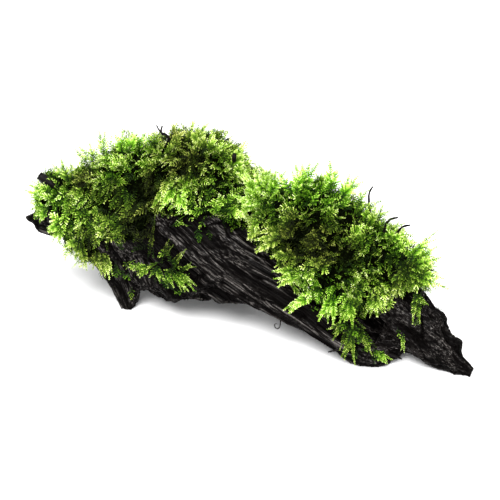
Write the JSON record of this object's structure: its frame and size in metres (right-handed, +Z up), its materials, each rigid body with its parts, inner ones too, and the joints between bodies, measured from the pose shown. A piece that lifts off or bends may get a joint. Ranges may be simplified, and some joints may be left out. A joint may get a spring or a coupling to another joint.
{
  "type": "christmas moss on driftwood",
  "caption": "Black furrowed driftwood arch on flat-bottomed feet, forked at one end, with dense bright green christmas moss grown over its top and hanging in front.",
  "frame": {"origin": "middle of the footprint, on the surface that the feet stand on", "axes": "+X along the length, from the raised broken end to the forked end; +Z up; the front that shows most bare wood faces -Y"},
  "size_m": [0.223, 0.0706, 0.0888],
  "materials": {
    "driftwood": "dark wet wood with open grain",
    "moss": "moist feathery fronds, bright at the tips"
  },
  "bodies": {
    "root": {"driftwood_trunk": "driftwood", "driftwood_left_foot": "driftwood", "driftwood_back_foot": "driftwood", "driftwood_front_branch": "driftwood", "driftwood_right_branch": "driftwood", "moss_left_patch": "moss", "moss_right_patch": "moss", "moss_front_tuft": "moss", "moss_low_tuft": "moss", "moss_hanging_sprig": "moss"}
  },
  "joints": []
}
